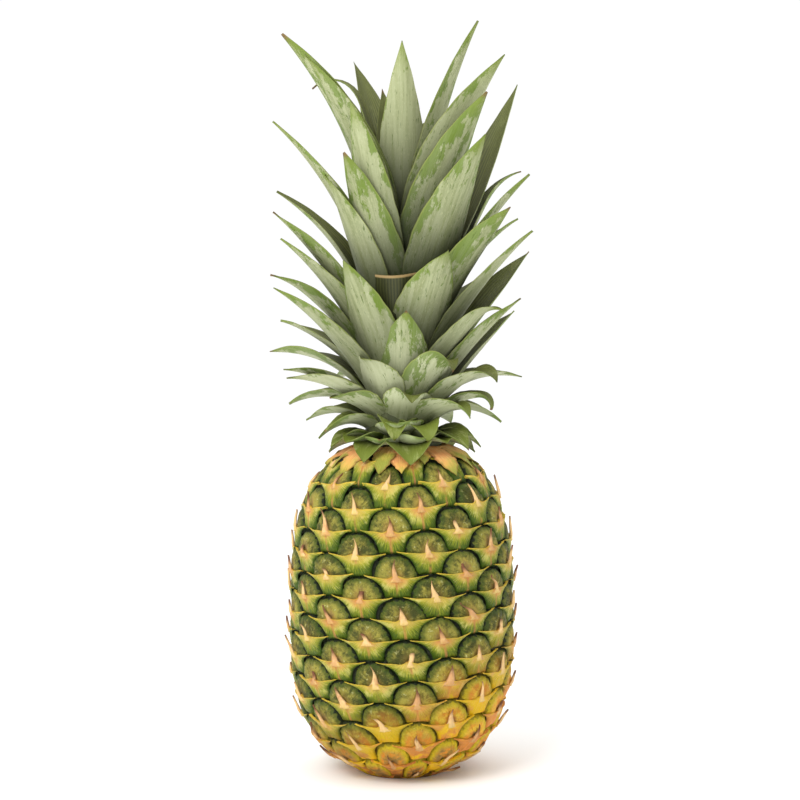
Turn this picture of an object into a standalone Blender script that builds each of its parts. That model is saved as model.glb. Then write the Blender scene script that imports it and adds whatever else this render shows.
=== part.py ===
"""Fresh pineapple standing on its cut base.

Four pieces: the fruit with its spiral of eyes and dry eye tips, the leafy crown grown from one short stem,
the papery collar between them, and the cut end of the stalk in the base. The origin is the centre of the
cut face, +Z runs up the fruit and -Y is the front. Sizes are in millimetres until the meshes are made.
"""
import math
import random

import bmesh
import bpy
import numpy as np
from mathutils.geometry import delaunay_2d_cdt

MM = 0.001
SEED = 11

# fruit body: a superellipse turned about the upright axis
WAIST_R = 56.5
WAIST_Z = 77.0
SHOULDER_RISE = 89.0
BELOW_POWER = 2.7
ABOVE_POWER = 2.9
NECK_R = 27.0
FOOT_R = 21.0
FOOT_SKIN_R = 28.0
RING_SIDES = 36
# reach of the relief's fade towards the base, and towards the neck in eyes
FADE_Z = 8.0
FADE_EYES = 4.0
NECK_MARGIN = 0.6
# the flat map, and the steps of its plain rings beyond the eyes, as logarithms of the radius
MAP_SCALE = 100.0
MAP_NECK = 0.05
MAP_FOOT = 0.25
MAP_STALK = 0.80

# spiral of eyes: each eye has the same share of the skin and turns by the same angle
EYE_AREA = 383.0
FIRST_EYE = 0.77
FIRST_EYE_TURN = 308.6
EYE_TURN = -37.715
STEPS_RIGHT = 9
STEPS_LEFT = 10

# one eye, in half cells across and up, with its lift off the skin
EYE_POINTS = {
    "rim_left": (-0.58, 0.05, -2.0),
    "rim_upper_left": (-0.44, 0.68, -3.0),
    "rim_top": (0.0, 1.02, -3.2),
    "rim_upper_right": (0.44, 0.68, -3.0),
    "rim_right": (0.58, 0.05, -2.0),
    "dome": (0.0, 0.50, -0.2),
    "shoulder_left": (-0.32, 0.0, -0.3),
    "shoulder_right": (0.32, 0.0, -0.3),
    "tip_left": (-0.11, 0.02, 0.4),
    "tip_right": (0.11, 0.02, 0.4),
    "tip_below": (0.0, -0.24, 0.1),
    "bract": (0.0, -0.55, -0.9),
}
EYE_EDGES = (
    ("rim_left", "rim_upper_left"), ("rim_upper_left", "rim_top"), ("rim_top", "rim_upper_right"),
    ("rim_upper_right", "rim_right"), ("rim_left", "shoulder_left"), ("shoulder_left", "tip_left"),
    ("tip_left", "tip_right"), ("tip_right", "shoulder_right"), ("shoulder_right", "rim_right"),
    ("tip_left", "tip_below"), ("tip_right", "tip_below"), ("tip_below", "bract"),
)
# dry tips: how far they sway, rise and stand off, with the spread of the last two
TIP_SWAY = 0.16
TIP_RISE = 0.62
TIP_RISE_SPREAD = (0.75, 1.15)
TIP_STAND = 3.4
TIP_STAND_SPREAD = (0.6, 1.25)
TIP_LOWEST_Z = 1.0
TIP_FREE_ABOVE_R = 46.0

# cut stalk and the recess that holds it
STALK_R = 14.0
STALK_DEPTH = 8.0
STALK_SIDES = 24
STALK_FLUTE = 0.35
# heights of the plug's rings, and how far each is let in
STALK_PROFILE = ((0.0, 0.3), (0.6, 0.0), (STALK_DEPTH, 0.4))
GAP = 0.3

# leafy stem of the crown
STEM_FOOT = 162.6
STEM_TOP = 254.0
STEM_FOOT_R = 20.0
STEM_TOP_R = 7.5
STEM_SIDES = 12
STEM_RINGS = 4
STEM_TIP_R = 1.5
STEM_TIP_RISE = 4.0
ROOT_SUNK = 3.0

# crown leaves on the near side: turn from the front, root height, reach of the tip from the axis,
# height of the tip, lean of the root off the upright, full width, curl of the last quarter
NEAR_LEAVES = (
    (0, 245, 9, 367, 3, 25, 0),
    (70, 240, 40, 376, 3, 22, 0),
    (47, 236, 67, 355, 8, 28, 0),
    (40, 228, 63, 337, 12, 29, 0),
    (40, 216, 62, 317, 20, 30, 0),
    (122, 224, 71, 351, 30, 27, 0),
    (118, 214, 64, 312, 24, 20, 25),
    (72, 216, 66, 300, 24, 16, 0),
    (55, 208, 64, 283, 26, 27, 0),
    (120, 212, 70, 281, 24, 22, 0),
    (68, 200, 69, 272, 30, 22, 0),
    (119, 190, 76, 264, 36, 22, 0),
    (27, 198, 49, 262, 20, 31, 0),
    (54, 190, 58, 240, 34, 25, 35),
    (68, 186, 63, 239, 36, 22, 0),
    (119, 180, 67, 233, 40, 22, 0),
    (3, 184, 36, 233, 22, 25, 0),
    (-33, 190, 52, 257, 24, 26, 0),
    (-50, 206, 49, 299, 12, 25, 0),
    (-35, 214, 49, 309, 12, 27, 0),
    (-30, 226, 50, 334, 18, 23, 0),
    (-57, 238, 69, 366, 4, 24, 0),
    (-50, 234, 61, 356, 4, 22, 0),
    (-152, 240, 54, 364, 4, 24, 0),
    (-120, 240, 40, 370, 0, 8, 62),
    (-66, 220, 69, 325, 12, 22, 0),
    (-104, 214, 66, 294, 14, 20, 0),
    (-66, 204, 69, 281, 24, 22, 0),
    (-64, 198, 66, 268, 24, 24, 0),
    (-76, 196, 66, 253, 28, 18, 10),
    (-60, 186, 72, 244, 32, 26, 0),
    (-114, 190, 69, 228, 40, 20, 0),
    (-112, 184, 74, 212, 36, 22, 0),
    (-68, 181, 63, 204, 46, 20, 0),
    (-60, 179, 65, 200, 46, 22, 0),
    (-110, 178, 62, 185, 44, 22, 0),
    (-106, 174, 51, 177, 48, 20, 0),
    (-66, 173, 42, 173, 46, 20, 0),
    (-100, 172, 43, 168, 48, 18, 0),
    (-32, 181, 37, 212, 26, 26, 20),
    (-56, 178, 43, 190, 46, 24, 0),
    (8, 176, 36, 194, 30, 25, 70),
    (33, 182, 47, 214, 30, 27, 80),
    (58, 179, 56, 206, 40, 24, 50),
    (110, 182, 66, 199, 40, 20, 0),
    (76, 178, 50, 190, 46, 20, 60),
    (46, 175, 48, 184, 42, 24, 30),
    (106, 176, 53, 176, 46, 20, 0),
    (-6, 172, 38, 173, 36, 20, 70),
    (92, 169, 40, 164, 60, 18, 0),
    (58, 169, 39, 164, 60, 20, 0),
    (-30, 167, 38, 159, 84, 22, 0),
    (6, 167, 40, 158, 84, 24, 0),
    (22, 171, 38, 172, 40, 20, 60),
    (38, 168, 36, 168, 80, 22, 0),
    (-52, 168, 36, 168, 80, 22, 0),
    (-75, 168, 37, 165, 66, 20, 0),
    (14, 167, 36, 171, 92, 26, 0),
    (-18, 167, 36, 170, 92, 24, 0),
    (-3, 169, 36, 178, 66, 24, 0),
    (102, 167, 38, 161, 82, 22, 0),
    (-102, 167, 38, 161, 82, 22, 0),
)
# one leaf that was broken off square at this share of a whole leaf
SNAPPED_LEAF = (-7, 188, 30, 250, 14, 20, 0)

# crown leaves on the far side: share of the way up, then root, reach, tip, lean and width as above
FAR_LEAVES = 25
FAR_ARC_START = 136.0
FAR_ARC = 88.0
GOLDEN_SHARE = 0.618034
FAR_GROWTH = (
    (0.00, 167, 37, 161, 84, 24),
    (0.14, 168, 38, 164, 76, 22),
    (0.24, 176, 50, 178, 48, 20),
    (0.34, 184, 62, 200, 42, 21),
    (0.48, 195, 64, 235, 34, 22),
    (0.62, 208, 60, 272, 24, 23),
    (0.76, 222, 52, 308, 15, 23),
    (0.90, 237, 40, 342, 7, 22),
    (1.00, 246, 20, 352, 3, 20),
)
# spread of the far leaves about that growth: degrees, share, millimetres, degrees, share
FAR_TURN_SPREAD = (-4.0, 4.0)
FAR_REACH_SPREAD = (0.92, 1.04)
FAR_RISE_SPREAD = (-8.0, 8.0)
FAR_LEAN_SPREAD = (-4.0, 4.0)
FAR_WIDTH_SPREAD = (0.94, 1.04)
FAR_CURLS = (0, 0, 0, 40)

# leaf blade
LEAF_THICK = 1.2
LEAF_TIP_W = 1.3
LEAF_CHANNEL = 0.42
LEAF_ROOT_W = 0.52
LEAF_WIDEST = 0.42
LEAF_TAPER = 1.75
SNAPPED_ROOT_W = 0.8
LEAF_BOW = 0.55
CURL_FROM = 0.72
CURL_GAIN = 1.6
CURL_POWER = 1.2
LEAF_LINE = 24
LEAF_STATIONS = 5

# papery collar: a ring, and bracts that follow the shoulder of the fruit
COLLAR_FOOT = 162.6
COLLAR_TALL = 3.0
COLLAR_IN_R = 20.3
COLLAR_OUT_R = 25.0
COLLAR_SIDES = 20
COLLAR_BRACTS = 17
COLLAR_ROOT_R = 22.5
COLLAR_REACH = (36.0, 43.0)
COLLAR_CLEAR = 1.9
COLLAR_WIDTH = (11.0, 15.0)
COLLAR_THICK = 1.0
COLLAR_DROOP = -0.08
COLLAR_STATIONS = 3
COLLAR_TURN_SPREAD = (-5.0, 5.0)
COLLAR_CHAMFER = 1.0


def material(name, colour, rough):
    made = bpy.data.materials.new(name)
    made.use_nodes = True
    shader = made.node_tree.nodes["Principled BSDF"]
    shader.inputs["Base Color"].default_value = (*colour, 1.0)
    shader.inputs["Roughness"].default_value = rough
    return made


def place(name, points, faces, mat=None):
    """Make a closed mesh object from points in millimetres, with its faces turned outwards."""
    mesh = bpy.data.meshes.new(name)
    mesh.from_pydata([tuple(c * MM for c in p) for p in points], [], faces)
    shape = bmesh.new()
    shape.from_mesh(mesh)
    bmesh.ops.recalc_face_normals(shape, faces=shape.faces)
    if shape.calc_volume(signed=True) < 0.0:
        bmesh.ops.reverse_faces(shape, faces=shape.faces)
    shape.to_mesh(mesh)
    shape.free()
    mesh.shade_smooth()
    made = bpy.data.objects.new(name, mesh)
    bpy.context.scene.collection.objects.link(made)
    if mat:
        mesh.materials.append(mat)
    return made


def around(turn, radius, height):
    """Point at a turn in degrees from the front, to the right as seen from there."""
    angle = math.radians(turn)
    return (radius * math.sin(angle), -radius * math.cos(angle), height)


class Skin:
    """Outline of the fruit from the crown down, with the skin area above each point."""

    def __init__(self, steps=900):
        swing = np.linspace(0.0, math.pi / 2.0, steps)
        up_r = WAIST_R * np.cos(swing) ** (2.0 / ABOVE_POWER)
        up_z = WAIST_Z + SHOULDER_RISE * np.sin(swing) ** (2.0 / ABOVE_POWER)
        down_r = WAIST_R * np.cos(swing) ** (2.0 / BELOW_POWER)
        down_z = WAIST_Z * (1.0 - np.sin(swing) ** (2.0 / BELOW_POWER))
        self.r = np.r_[up_r[::-1], down_r[1:]]
        self.z = np.r_[up_z[::-1], down_z[1:]]
        step = np.hypot(np.diff(self.r), np.diff(self.z))
        mid = (self.r[1:] + self.r[:-1]) / 2.0
        self.area = np.r_[0.0, np.cumsum(2.0 * math.pi * mid * step)] / EYE_AREA
        slope_r, slope_z = np.gradient(self.r), np.gradient(self.z)
        size = np.hypot(slope_r, slope_z)
        self.out_r, self.out_z = -slope_z / size, slope_r / size
        # logarithm of the radius in a flat map that keeps angles true
        self.log = -np.r_[0.0, np.cumsum(step / np.maximum(mid, 1.0))]

    def at(self, area):
        """Radius, height, outward normal and map logarithm where this many eye areas lie above."""
        return [float(np.interp(area, self.area, v))
                for v in (self.r, self.z, self.out_r, self.out_z, self.log)]

    def area_at(self, radius, below):
        """Eye areas above the given radius, on the upper or the lower half."""
        split = int(np.argmax(self.r))
        if below:
            return float(np.interp(-radius, -self.r[split:], self.area[split:]))
        return float(np.interp(radius, self.r[:split], self.area[:split]))


def eye_place(eye, across, up):
    """Skin area index and turn of a point of one eye, on the lattice of its neighbours."""
    right, left = (across - up) / 2.0, (-across - up) / 2.0
    area = eye + FIRST_EYE + STEPS_RIGHT * right + STEPS_LEFT * left
    turn = (FIRST_EYE_TURN + EYE_TURN * eye + (STEPS_RIGHT * EYE_TURN + 360.0) * right
            + (STEPS_LEFT * EYE_TURN + 360.0) * left)
    return area, turn


def fruit_piece(mat):
    skin = Skin()
    top, foot = skin.area_at(NECK_R, False), skin.area_at(FOOT_SKIN_R, True)
    flat, solid, edges, tips = [], [], [], []

    def mapped(log, turn):
        angle, reach = math.radians(turn), MAP_SCALE * math.exp(log)
        return (reach * math.sin(angle), -reach * math.cos(angle))

    def ring(radius, height, log):
        start = len(solid)
        for k in range(RING_SIDES):
            turn = 360.0 * k / RING_SIDES
            flat.append(mapped(log, turn))
            solid.append(around(turn, radius, height))
        edges.extend((start + k, start + (k + 1) % RING_SIDES) for k in range(RING_SIDES))
        return start

    neck_r, neck_z, _, _, neck_log = skin.at(top)
    foot_log = skin.at(foot)[4]
    neck = ring(neck_r, neck_z, neck_log + MAP_NECK)
    ring(FOOT_R, 0.0, foot_log - MAP_FOOT)
    recess = ring(STALK_R + GAP, 0.0, foot_log - MAP_STALK)

    for eye in range(-STEPS_LEFT, int(skin.area[-1]) + STEPS_LEFT):
        held = {}
        for name, (across, up, lift) in EYE_POINTS.items():
            area, turn = eye_place(eye, across, up)
            if not top + NECK_MARGIN < area < foot:
                continue
            r, z, out_r, out_z, log = skin.at(area)
            fade = min(1.0, z / FADE_Z, (area - top) / FADE_EYES)
            held[name] = len(solid)
            flat.append(mapped(log, turn))
            solid.append(around(turn, r + lift * fade * out_r, z + lift * fade * out_z))
        edges.extend((held[a], held[b]) for a, b in EYE_EDGES if a in held and b in held)
        base = [held.get(n) for n in ("tip_left", "tip_right", "tip_below")]
        area, _ = eye_place(eye, 0.0, 0.0)
        if None not in base and (skin.at(area)[0] > TIP_FREE_ABOVE_R or area > skin.area[-1] / 2.0):
            tips.append((eye, base))

    points, _, faces, origin, _, _ = delaunay_2d_cdt(flat, edges, [], 0, 1e-7)
    assert len(points) == len(flat), "an eye outline crosses another"
    order = [sources[0] for sources in origin]
    faces = [tuple(order[i] for i in face) for face in faces]
    inner = set(range(recess, recess + RING_SIDES))
    faces = [face for face in faces if not set(face) <= inner]

    # dry tips drawn out of the little triangle on each eye
    bases = {frozenset(base): eye for eye, base in tips}
    skin_faces = []
    for face in faces:
        eye = bases.get(frozenset(face))
        if eye is None:
            skin_faces.append(face)
            continue
        draw = random.Random(SEED * 1000 + eye)
        sway, rise = draw.uniform(-TIP_SWAY, TIP_SWAY), TIP_RISE * draw.uniform(*TIP_RISE_SPREAD)
        area, turn = eye_place(eye, sway, rise)
        r, z, out_r, out_z, _ = skin.at(area)
        stand = TIP_STAND * draw.uniform(*TIP_STAND_SPREAD)
        apex = len(solid)
        solid.append(around(turn, r + stand * out_r, max(z + stand * out_z, TIP_LOWEST_Z)))
        skin_faces.extend((face[k], face[(k + 1) % 3], apex) for k in range(3))

    # flat neck, and the recess for the stalk
    neck_mid = len(solid)
    solid.append((0.0, 0.0, neck_z))
    roof = len(solid)
    solid.extend(around(360.0 * k / RING_SIDES, STALK_R + GAP, STALK_DEPTH + GAP) for k in range(RING_SIDES))
    roof_mid = len(solid)
    solid.append((0.0, 0.0, STALK_DEPTH + GAP))
    for k in range(RING_SIDES):
        after = (k + 1) % RING_SIDES
        skin_faces.append((neck + k, neck + after, neck_mid))
        skin_faces.append((recess + k, recess + after, roof + after, roof + k))
        skin_faces.append((roof + k, roof + after, roof_mid))
    return place("fruit", solid, skin_faces, mat)


def stalk_piece(mat):
    """Cut end of the stalk: a low round plug with a slightly fluted side."""
    points, faces, rings = [], [], []
    sides = STALK_SIDES
    for height, inset in STALK_PROFILE:
        rings.append(len(points))
        points.extend(around(360.0 * k / sides, STALK_R - inset - STALK_FLUTE * (k % 2), height)
                      for k in range(sides))
    for low, high in zip(rings, rings[1:]):
        faces.extend((low + k, low + (k + 1) % sides, high + (k + 1) % sides, high + k) for k in range(sides))
    faces.append(tuple(rings[0] + k for k in range(sides)))
    faces.append(tuple(rings[-1] + k for k in range(sides)))
    return place("cut_stalk", points, faces, mat)


def leaf_line(start, reach, rise, lean, curl, count):
    """Points (radius, height) along the middle of a leaf, root to tip."""
    end = np.array([reach, rise], float)
    start = np.array(start, float)
    push = math.radians(lean)
    bend = start + LEAF_BOW * np.linalg.norm(end - start) * np.array([math.sin(push), math.cos(push)])
    x = np.linspace(0.0, 1.0, count + 1)[:, None]
    line = (1 - x) ** 2 * start + 2 * x * (1 - x) * bend + x * x * end
    if curl:
        step = np.diff(line, axis=0)
        angle, size = np.arctan2(step[:, 0], step[:, 1]), np.hypot(step[:, 0], step[:, 1])
        mid = (x[1:, 0] + x[:-1, 0]) / 2.0
        late = np.clip((mid - CURL_FROM) / (1.0 - CURL_FROM), 0.0, 1.0)
        angle = angle + math.radians(curl) * CURL_GAIN * late ** CURL_POWER
        step = np.c_[np.sin(angle) * size, np.cos(angle) * size]
        line = np.vstack([line[:1], line[0] + np.cumsum(step, axis=0)])
    return line


def leaf_width(x, whole=True):
    """Share of the full width at x along the leaf; a snapped leaf keeps its width to the break."""
    if not whole:
        return SNAPPED_ROOT_W + (1.0 - SNAPPED_ROOT_W) * x
    if x < LEAF_WIDEST:
        return LEAF_ROOT_W + (1.0 - LEAF_ROOT_W) * math.sin(x / LEAF_WIDEST * math.pi / 2.0)
    return 1.0 - ((x - LEAF_WIDEST) / (1.0 - LEAF_WIDEST)) ** LEAF_TAPER


def blade(turn, line, width, thick, channel, stations, whole=True):
    """Closed channelled blade along a line of (radius, height) points at one turn about the axis."""
    angle = math.radians(turn)
    out = np.array([math.sin(angle), -math.cos(angle), 0.0])
    side = np.array([math.cos(angle), math.sin(angle), 0.0])
    along = np.gradient(line, axis=0)
    along /= np.hypot(along[:, 0], along[:, 1])[:, None]
    picks = [round(k * (len(line) - 1) / stations) for k in range(stations + 1)]
    points, faces = [], []
    for pick in picks:
        x = pick / (len(line) - 1)
        half = max(width * leaf_width(x, whole), LEAF_TIP_W) / 2.0
        middle = line[pick, 0] * out + np.array([0.0, 0.0, line[pick, 1]])
        inward = -along[pick, 1] * out + np.array([0.0, 0.0, along[pick, 0]])
        for face in (-0.5, 0.5):
            for across in (-1.0, 0.0, 1.0):
                cup = channel * half * across * across
                points.append(middle + side * across * half + inward * (cup + face * thick))
    for k in range(stations):
        a, b = 6 * k, 6 * k + 6
        for low in (0, 3):
            for i in (0, 1):
                p, q = a + low + i, b + low + i
                faces += [(p, p + 1, q + 1), (p, q + 1, q)]
        for i in (0, 2):
            faces += [(a + i, a + i + 3, b + i + 3), (a + i, b + i + 3, b + i)]
    last = 6 * stations
    for base in (0, last):
        for i in (0, 1):
            faces.append((base + i, base + i + 1, base + i + 4, base + i + 3))
    return points, faces


def close_pockets(shape):
    """Fill the sealed pockets left between crossing blades, so that one outer skin remains."""
    shells, left = [], set(shape.faces)
    while left:
        shell, edge = [], [left.pop()]
        while edge:
            face = edge.pop()
            shell.append(face)
            for near in (f for e in face.edges for f in e.link_faces):
                if near in left:
                    left.remove(near)
                    edge.append(near)
        shells.append(shell)
    shells.sort(key=len)
    for shell in shells[:-1]:
        bmesh.ops.delete(shape, geom=shell, context="FACES")


def fused(name, core, blades, mat):
    """One body from a core and the blades that grow from it."""
    helpers = bpy.data.collections.new(name + "_blades")
    bpy.context.scene.collection.children.link(helpers)
    for points, faces in blades:
        part = place(name + "_blade", points, faces)
        bpy.context.scene.collection.objects.unlink(part)
        helpers.objects.link(part)
        part.hide_render = True
        part.display_type = "WIRE"
    join = core.modifiers.new("join", "BOOLEAN")
    join.operation = "UNION"
    join.operand_type = "COLLECTION"
    join.collection = helpers
    depsgraph = bpy.context.evaluated_depsgraph_get()
    mesh = bpy.data.meshes.new_from_object(core.evaluated_get(depsgraph))
    core.modifiers.clear()
    core.data = mesh
    mesh.name = name
    mesh.materials.clear()
    mesh.materials.append(mat)
    for part in list(helpers.objects):
        bpy.data.objects.remove(part)
    bpy.data.collections.remove(helpers)
    tidy = bmesh.new()
    tidy.from_mesh(mesh)
    close_pockets(tidy)
    bmesh.ops.triangulate(tidy, faces=tidy.faces)
    tidy.to_mesh(mesh)
    tidy.free()
    for polygon in mesh.polygons:
        polygon.material_index = 0
    mesh.shade_smooth()
    return core


def round_body(name, rings, sides, mat=None, mid=True):
    """Closed body from (radius, height) rings; a tube when it has no middle."""
    points, faces = [], []
    for radius, height in rings:
        points.extend(around(360.0 * k / sides, radius, height) for k in range(sides))
    count = len(rings)
    for row in range(count - 1 if mid else count):
        low, high = row * sides, (row + 1) % count * sides
        faces.extend((low + k, low + (k + 1) % sides, high + (k + 1) % sides, high + k) for k in range(sides))
    if mid:
        faces.append(tuple(range(sides)))
        faces.append(tuple(range((count - 1) * sides, count * sides)))
    return place(name, points, faces, mat)


def stem_radius(height):
    share = (height - STEM_FOOT) / (STEM_TOP - STEM_FOOT)
    return STEM_FOOT_R + (STEM_TOP_R - STEM_FOOT_R) * share


def far_leaves():
    """Leaves of the far side, spread by the golden share, with the growth read off the near side."""
    draw = random.Random(SEED)
    growth = np.array(FAR_GROWTH, float)
    for k in range(FAR_LEAVES):
        share = (k + 0.5) / FAR_LEAVES
        root, reach, rise, lean, width = [float(np.interp(share, growth[:, 0], growth[:, c]))
                                          for c in range(1, 6)]
        turn = FAR_ARC_START + k * GOLDEN_SHARE % 1.0 * FAR_ARC + draw.uniform(*FAR_TURN_SPREAD)
        reach = reach * draw.uniform(*FAR_REACH_SPREAD)
        rise = rise + share * draw.uniform(*FAR_RISE_SPREAD)
        lean = lean + draw.uniform(*FAR_LEAN_SPREAD)
        width = width * draw.uniform(*FAR_WIDTH_SPREAD)
        yield turn, root, reach, rise, lean, width, draw.choice(FAR_CURLS)


def crown_piece(mat):
    rings = [(stem_radius(z), z) for z in np.linspace(STEM_FOOT, STEM_TOP, STEM_RINGS)]
    core = round_body("crown", rings + [(STEM_TIP_R, STEM_TOP + STEM_TIP_RISE)], STEM_SIDES, mat)
    blades = []
    for row in NEAR_LEAVES + (SNAPPED_LEAF,) + tuple(far_leaves()):
        turn, root, reach, rise, lean, width, curl = row
        line = leaf_line((stem_radius(root) - ROOT_SUNK, root), reach, rise, lean, curl, LEAF_LINE)
        whole = row is not SNAPPED_LEAF
        blades.append(blade(turn, line, width, LEAF_THICK, LEAF_CHANNEL, LEAF_STATIONS, whole))
    return fused("crown", core, blades, mat)


def collar_line(skin, reach):
    """Line of a bract that lies just over the shoulder, from the ring to its tip."""
    radii = np.linspace(COLLAR_ROOT_R, reach, COLLAR_STATIONS * 2 + 1)
    heights = [skin.at(skin.area_at(r, False))[1] + COLLAR_CLEAR for r in radii]
    return np.c_[radii, heights]


def collar_piece(mat):
    skin = Skin()
    draw = random.Random(SEED + 1)
    top = COLLAR_FOOT + COLLAR_TALL
    rings = [(COLLAR_IN_R, COLLAR_FOOT), (COLLAR_OUT_R, COLLAR_FOOT)]
    rings += [(COLLAR_OUT_R - COLLAR_CHAMFER, top), (COLLAR_IN_R, top)]
    core = round_body("collar", rings, COLLAR_SIDES, mat, mid=False)
    blades = []
    for k in range(COLLAR_BRACTS):
        turn = 360.0 * k / COLLAR_BRACTS + draw.uniform(*COLLAR_TURN_SPREAD)
        line = collar_line(skin, draw.uniform(*COLLAR_REACH))
        width = draw.uniform(*COLLAR_WIDTH)
        blades.append(blade(turn, line, width, COLLAR_THICK, COLLAR_DROOP, COLLAR_STATIONS))
    return fused("collar", core, blades, mat)


def build():
    for thing in list(bpy.data.objects):
        bpy.data.objects.remove(thing)
    fruit_piece(material("pineapple_rind", (0.33, 0.34, 0.10), 0.55))
    stalk_piece(material("cut_stalk_fibre", (0.52, 0.40, 0.22), 0.85))
    crown_piece(material("crown_leaf", (0.33, 0.40, 0.22), 0.50))
    collar_piece(material("collar_paper", (0.72, 0.50, 0.20), 0.70))


build()
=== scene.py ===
import math
import random

import bpy
import numpy as np
from bpy.props import FloatProperty, FloatVectorProperty, PointerProperty
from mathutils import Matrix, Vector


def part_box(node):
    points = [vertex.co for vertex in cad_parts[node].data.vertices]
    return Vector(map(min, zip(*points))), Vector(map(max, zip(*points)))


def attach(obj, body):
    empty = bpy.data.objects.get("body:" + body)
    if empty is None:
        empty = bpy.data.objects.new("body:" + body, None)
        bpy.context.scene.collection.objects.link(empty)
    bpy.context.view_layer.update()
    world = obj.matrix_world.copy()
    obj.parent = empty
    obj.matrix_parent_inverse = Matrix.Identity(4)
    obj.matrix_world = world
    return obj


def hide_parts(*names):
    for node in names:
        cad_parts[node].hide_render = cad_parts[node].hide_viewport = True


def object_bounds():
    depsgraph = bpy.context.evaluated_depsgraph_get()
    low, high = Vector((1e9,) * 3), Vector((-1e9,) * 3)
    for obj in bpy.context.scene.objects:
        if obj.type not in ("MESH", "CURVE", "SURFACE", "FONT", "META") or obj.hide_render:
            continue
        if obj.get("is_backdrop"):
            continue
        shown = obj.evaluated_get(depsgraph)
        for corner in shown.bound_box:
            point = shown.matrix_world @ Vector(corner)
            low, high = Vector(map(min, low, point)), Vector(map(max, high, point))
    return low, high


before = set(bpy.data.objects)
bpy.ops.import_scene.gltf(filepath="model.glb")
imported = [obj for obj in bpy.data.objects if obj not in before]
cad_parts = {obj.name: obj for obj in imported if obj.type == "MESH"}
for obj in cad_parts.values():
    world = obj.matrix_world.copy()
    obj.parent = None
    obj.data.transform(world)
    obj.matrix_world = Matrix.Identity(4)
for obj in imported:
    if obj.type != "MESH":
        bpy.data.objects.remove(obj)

bl_info = {
    "name": "Pineapple",
    "version": (1, 0, 0),
    "blender": (4, 5, 0),
    "location": "View3D > Sidebar > Pineapple",
    "description": "Builds a fresh pineapple with its leafy crown, and the small studio around it",
    "category": "Add Mesh",
}

# Ends of the solids, in metres
CAD_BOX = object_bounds()
FRUIT_TOP = float(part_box("fruit")[1][2])
COLLAR_LOW = float(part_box("collar")[0][2])
STALK_TOP = float(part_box("cut_stalk")[1][2])
CROWN_LOW = float(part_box("crown")[0][2])

MM = 0.001
SEED = 11

# Fruit body, in millimetres: a superellipse turned about the upright axis
SHOULDER_RISE = 89.0
BELOW_POWER = 2.7
ABOVE_POWER = 2.9
NECK_R = 27.0
FOOT_R = 21.0
FOOT_SKIN_R = 28.0
STALK_R = 14.0
GAP = 0.3

# Relief of the rind: its crease depth in metres, then where it fades out, in millimetres and in eyes
CREASE = 0.003
FADE_Z = 6.0
FADE_EYES = 4.0
LOWEST_Z = 0.2

# Spiral of eyes
FIRST_EYE = 0.77
FIRST_EYE_TURN = 308.6
EYE_TURN = -37.715
STEPS_RIGHT = 9
STEPS_LEFT = 10
EYE_SHIFT = 0.03
EYE_ROLL = 0.07
EYE_HALF_W = 0.65
EYE_ABOVE = 1.05
EYE_BELOW = 0.6
DOME_RINGS = (0.0, 0.1, 0.2, 0.32, 0.46, 0.6, 0.73, 0.82, 0.88, 0.925, 0.965, 1.0)
BRACT_ROWS = (0.0, 0.04, 0.09, 0.15, 0.24, 0.35, 0.47, 0.59, 0.70, 0.80, 0.88, 0.94, 0.98, 1.0, 1.001)

# Dry tips: sway to a side and rise in half cells, stand off the skin in millimetres
TIP_SWAY = 0.16
TIP_RISE = 0.62
TIP_RISE_SPREAD = (0.75, 1.15)
TIP_RISE_GAIN = (1.0, 1.35)
TIP_STAND = 3.4
TIP_STAND_SPREAD = (0.6, 1.25)
TIP_FOOT = -0.24
TIP_KEEL = 1.5
TIP_FREE_ABOVE_R = 46.0
TIPS_BROKEN = 0.16
TIPS_BENT = 0.20

# Leafy stem
STEM_FOOT = 162.6
STEM_TOP = 254.0
STEM_FOOT_R = 20.0
STEM_TOP_R = 7.5
STEM_TIP_R = 2.0
STEM_TIP_RISE = 3.5
ROOT_SUNK = 3.0

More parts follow.
